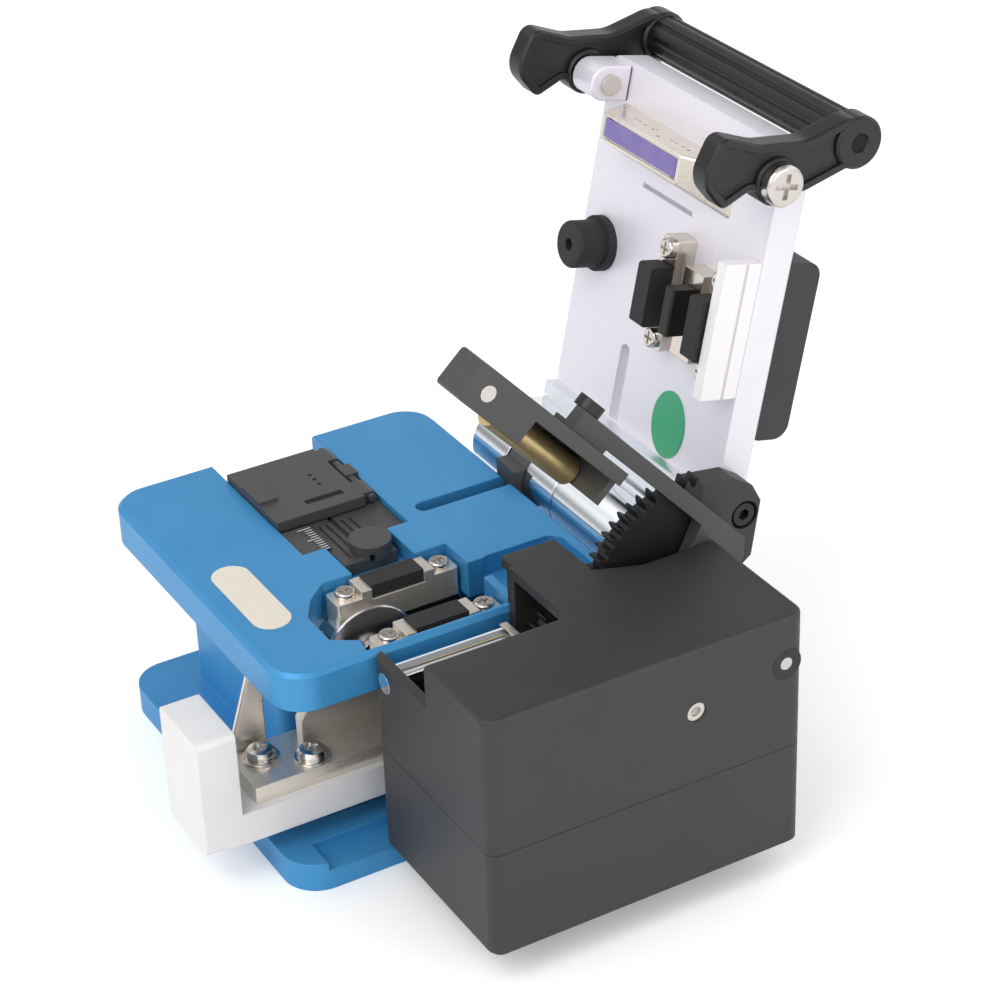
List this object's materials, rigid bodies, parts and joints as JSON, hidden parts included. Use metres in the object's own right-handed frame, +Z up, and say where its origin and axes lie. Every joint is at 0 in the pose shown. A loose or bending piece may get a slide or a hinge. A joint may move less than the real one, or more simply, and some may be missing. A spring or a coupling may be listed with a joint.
{
  "type": "fibre cleaver",
  "caption": "Bench optical fibre cleaver: blade slide under a clamp deck, swinging lid with carrying handle, roller arm and scrap bin.",
  "frame": {"origin": "centre of the foot on the bench", "axes": "+X along the fibre towards the scrap bin, +Y towards the lid hinge, +Z up"},
  "size_m": [0.1175, 0.1347, 0.1288],
  "materials": {
    "blue_deck": "blue anodised",
    "silver": "satin anodised",
    "white_block": "bead blasted",
    "nickel": "nickel plate",
    "bright": "polished",
    "black_metal": "black anodised",
    "black_plastic": "moulded",
    "black_rubber": "rubber",
    "brass": "turned",
    "steel": "turned",
    "inlay": "cream satin",
    "label": "foil",
    "inset": "purple film",
    "pale_block": "pale"
  },
  "bodies": {
    "base": {"bearing_plate": "black_metal", "bin_lower": "black_metal", "bin_screw": "bright", "bin_upper": "black_metal", "body_frame": "blue_deck", "clamp_bar_left": "nickel", "clamp_bar_right": "nickel", "clamp_bracket_left": "nickel", "clamp_bracket_right": "nickel", "clamp_screws": "nickel", "hinge_bracket": "black_metal", "hinge_rod": "steel", "holder_base": "black_metal", "holder_pin": "black_metal", "inlay_plate": "inlay", "lower_pads": "black_rubber", "ruler_strip": "black_metal", "slide_rail": "steel"},
    "lid": {"lid_plate": "silver", "lid_barrel": "bright", "side_link": "black_metal", "link_bolt": "black_metal", "sector_gear": "black_metal", "upper_holder_left": "nickel", "upper_holder_right": "nickel", "upper_pads": "black_rubber", "upper_screws": "nickel", "anvil_guide": "nickel", "edge_rail": "pale_block", "stop_post": "black_rubber", "oval_label": "label", "keeper_block": "nickel", "keeper_inset": "inset", "back_pad": "black_plastic", "pivot_bar": "silver", "handle_screws": "nickel"},
    "handle": {"handle": "black_plastic"},
    "anvil": {"anvil": "black_rubber"},
    "roller_arm": {"arm_frame": "black_metal", "arm_bar": "black_metal", "arm_knob": "black_metal", "nose_pin": "bright", "brass_pin": "steel"},
    "brass_roller": {"brass_roller": "brass"},
    "slider": {"slider_block": "white_block", "blade_carrier": "nickel", "carrier_screws": "nickel", "blade_screw": "bright"},
    "blade": {"blade": "steel"},
    "holder_flap": {"holder_flap": "black_metal"},
    "scrap_roller": {"scrap_roller": "bright"},
    "drive_pinion": {"drive_pinion": "black_metal"}
  },
  "joints": [
    {"name": "lid_hinge", "type": "hinge", "parent": "base", "child": "lid", "pos_m": [0, 0.04275, 0.0458], "axis": [1, 0, 0], "range_deg": [0, 102.4]},
    {"name": "handle_pivot", "type": "hinge", "parent": "lid", "child": "handle", "pos_m": [0, 0.06448, 0.11761], "axis": [1, 0, 0], "range_deg": [-43, 0]},
    {"name": "anvil_slide", "type": "slide", "parent": "lid", "child": "anvil", "axis": [0, 0.9767, -0.2147], "range_m": [0, 0.0008], "stiffness_N_per_m": 200},
    {"name": "arm_hinge", "type": "hinge", "parent": "base", "child": "roller_arm", "pos_m": [0, 0.04275, 0.0458], "axis": [1, 0, 0], "range_deg": [0, 47.6]},
    {"name": "brass_spin", "type": "hinge", "parent": "roller_arm", "child": "brass_roller", "pos_m": [0.0427, 0.02284, 0.07197], "axis": [0, -0.6756, 0.7373], "continuous": true},
    {"name": "blade_slide", "type": "slide", "parent": "base", "child": "slider", "axis": [0, 1, 0], "range_m": [0, 0.0148]},
    {"name": "blade_index", "type": "hinge", "parent": "slider", "child": "blade", "pos_m": [0.0245, -0.0102, 0.0377], "axis": [1, 0, 0], "continuous": true},
    {"name": "holder_flap_hinge", "type": "hinge", "parent": "base", "child": "holder_flap", "pos_m": [-0.02, 0.00855, 0.047], "axis": [1, 0, 0], "range_deg": [-100, 0]},
    {"name": "pinion_spin", "type": "hinge", "parent": "base", "child": "drive_pinion", "pos_m": [0.046, 0.017, 0.043], "axis": [1, 0, 0], "range_deg": [-380, 5]},
    {"name": "scrap_roller_spin", "type": "hinge", "parent": "base", "child": "scrap_roller", "pos_m": [0.0427, 0, 0.043], "axis": [0, 1, 0], "range_deg": [-5, 380]}
  ],
  "couplings": [
    {"joint": "handle_pivot", "follows": "lid_hinge", "ratio": -0.41992},
    {"joint": "arm_hinge", "follows": "lid_hinge", "ratio": 0.46387},
    {"joint": "pinion_spin", "follows": "lid_hinge", "ratio": -3.625},
    {"joint": "scrap_roller_spin", "follows": "lid_hinge", "ratio": 3.625}
  ]
}
